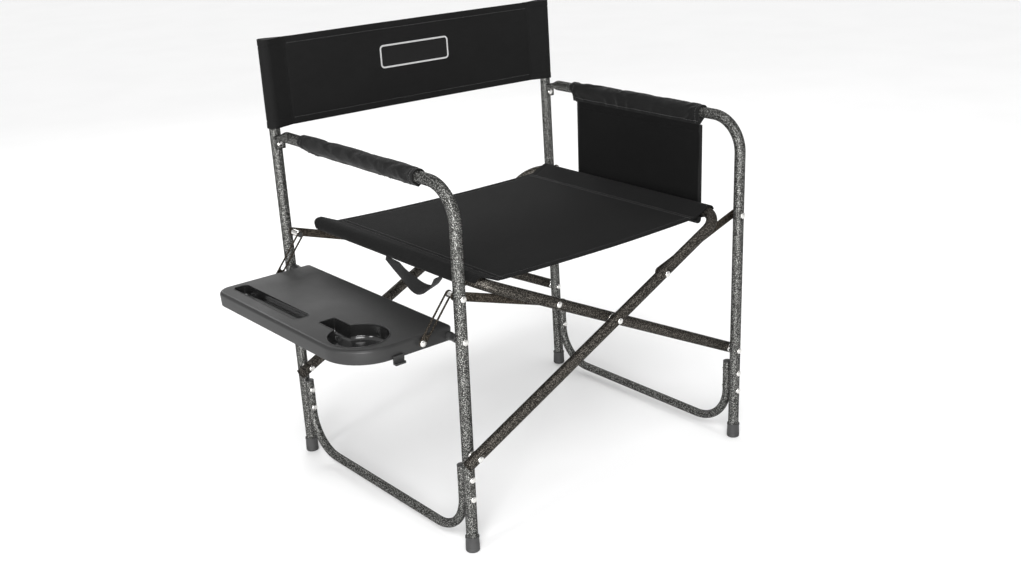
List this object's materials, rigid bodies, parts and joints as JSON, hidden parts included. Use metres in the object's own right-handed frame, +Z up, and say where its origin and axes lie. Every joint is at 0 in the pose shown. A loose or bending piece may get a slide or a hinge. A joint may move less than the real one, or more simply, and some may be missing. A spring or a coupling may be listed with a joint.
{
  "type": "folding camp chair",
  "caption": "Folding director-style camp chair: two tubular side frames, crossed frames, cloth seat and back, padded arms, fold-up side table and hanging pouch.",
  "frame": {"origin": "on the floor in the chair's middle plane, level with the axis of the left front leg", "axes": "+Z up, -Y the way the sitter faces, -X the sitter's right hand and the side table"},
  "size_m": [0.8392, 0.5821, 0.7984],
  "materials": {
    "hammered_coat": "dark silver-grey hammertone powder coat",
    "dark_coat": "dark grey-brown textured powder coat",
    "nickel": "bright plated rivets",
    "dark_rubber": "dark grey moulded rubber",
    "grey_plastic": "dark grey moulded plastic, satin rim and glossy cup",
    "black_cloth": "black coated polyester weave",
    "webbing": "charcoal webbing"
  },
  "bodies": {
    "left_side": {"left_leg_arm": "hammered_coat", "left_post": "hammered_coat", "left_ground_loop": "hammered_coat", "left_front_foot": "dark_rubber", "left_rear_foot": "dark_rubber", "left_front_plug": "dark_rubber", "left_rear_plug": "dark_rubber", "left_arm_rivet": "nickel", "left_arm_pad": "black_cloth", "left_back_sleeve": "black_cloth", "left_low_pivot_front": "nickel", "left_low_pivot_rear": "nickel", "left_high_pivot_front": "nickel", "left_high_pivot_rear": "nickel", "left_hinge_front": "nickel", "left_hinge_rear": "nickel"},
    "right_rail_side": {"right_rail_frame": "hammered_coat", "right_rail_link_rivet_front": "nickel", "right_rail_link_rivet_rear": "nickel", "centre_pivot_front": "nickel", "centre_pivot_rear": "nickel", "right_seat_sleeve": "black_cloth", "right_carry_strap": "webbing"},
    "left_rail_side": {"left_rail_frame": "hammered_coat", "left_rail_link_rivet_front": "nickel", "left_rail_link_rivet_rear": "nickel", "left_seat_sleeve": "black_cloth", "left_carry_strap": "webbing"},
    "right_side": {"right_leg_arm": "hammered_coat", "right_post": "hammered_coat", "right_ground_loop": "hammered_coat", "right_front_foot": "dark_rubber", "right_rear_foot": "dark_rubber", "right_front_plug": "dark_rubber", "right_rear_plug": "dark_rubber", "right_arm_rivet": "nickel", "right_arm_pad": "black_cloth", "right_back_sleeve": "black_cloth", "right_low_pivot_front": "nickel", "right_low_pivot_rear": "nickel", "right_high_pivot_front": "nickel", "right_high_pivot_rear": "nickel", "storage_pouch": "black_cloth"},
    "left_links": {"left_front_link": "dark_coat", "left_rear_link": "dark_coat"},
    "right_links": {"right_front_link": "dark_coat", "right_rear_link": "dark_coat"},
    "left_seat": {"left_seat_panel": "black_cloth"},
    "right_seat": {"right_seat_panel": "black_cloth"},
    "left_back": {"left_back_panel": "black_cloth"},
    "right_back": {"right_back_panel": "black_cloth"},
    "side_table": {"table_top": "grey_plastic", "table_boss_front": "grey_plastic", "table_boss_rear": "grey_plastic", "table_clip": "grey_plastic", "front_stay_pin": "nickel", "rear_stay_pin": "nickel"},
    "table_stays": {"front_stay": "dark_coat", "rear_stay": "dark_coat"}
  },
  "joints": [
    {"name": "chair_fold", "type": "hinge", "parent": "left_side", "child": "right_rail_side", "pos_m": [-0.315, 0, 0.182], "axis": [0, -1, 0], "range_deg": [0, 55.97]},
    {"name": "crossing", "type": "hinge", "parent": "right_rail_side", "child": "left_rail_side", "pos_m": [0, 0, 0.332], "axis": [0, 1, 0], "range_deg": [0, 111.96]},
    {"name": "right_low_pivot", "type": "hinge", "parent": "left_rail_side", "child": "right_side", "pos_m": [0.315, 0, 0.182], "axis": [0, -1, 0], "range_deg": [0, 55.99]},
    {"name": "left_link_swing", "type": "hinge", "parent": "left_side", "child": "left_links", "pos_m": [-0.315, 0, 0.45], "axis": [0, -1, 0], "range_deg": [0, 98.43]},
    {"name": "right_link_swing", "type": "hinge", "parent": "right_side", "child": "right_links", "pos_m": [0.315, 0, 0.45], "axis": [0, 1, 0], "range_deg": [0, 98.43]},
    {"name": "left_seat_drop", "type": "hinge", "parent": "left_rail_side", "child": "left_seat", "pos_m": [-0.268, 0, 0.45962], "axis": [0, 1, 0], "range_deg": [0, 24.56], "deforming": ["left_seat_panel"]},
    {"name": "right_seat_drop", "type": "hinge", "parent": "right_rail_side", "child": "right_seat", "pos_m": [0.268, 0, 0.45962], "axis": [0, -1, 0], "range_deg": [0, 24.56], "deforming": ["right_seat_panel"]},
    {"name": "left_back_pleat", "type": "hinge", "parent": "left_side", "child": "left_back", "pos_m": [-0.315, 0.512, 0.182], "axis": [0, 0.034, 0.9994], "range_deg": [0, 80.53], "deforming": ["left_back_panel"]},
    {"name": "right_back_pleat", "type": "hinge", "parent": "right_side", "child": "right_back", "pos_m": [0.315, 0.488, 0.182], "axis": [0, -0.034, -0.9994], "range_deg": [0, 80.53], "deforming": ["right_back_panel"]},
    {"name": "table_fold", "type": "hinge", "parent": "left_side", "child": "side_table", "pos_m": [-0.315, 0, 0.378], "axis": [0, 1, 0], "range_deg": [0, 90]},
    {"name": "stay_swing", "type": "hinge", "parent": "side_table", "child": "table_stays", "pos_m": [-0.37, 0, 0.382], "axis": [0, -1, 0], "range_deg": [0, 128.99]}
  ],
  "couplings": [
    {"joint": "crossing", "follows": "chair_fold", "ratio": 2},
    {"joint": "right_low_pivot", "follows": "chair_fold", "ratio": 1},
    {"joint": "left_link_swing", "follows": "chair_fold", "ratio": 1.7583},
    {"joint": "right_link_swing", "follows": "chair_fold", "ratio": 1.7583},
    {"joint": "left_seat_drop", "follows": "chair_fold", "ratio": 0.4384},
    {"joint": "right_seat_drop", "follows": "chair_fold", "ratio": 0.4384},
    {"joint": "left_back_pleat", "follows": "chair_fold", "ratio": 1.4384},
    {"joint": "right_back_pleat", "follows": "chair_fold", "ratio": 1.4384},
    {"joint": "stay_swing", "follows": "table_fold", "ratio": 1.433}
  ]
}
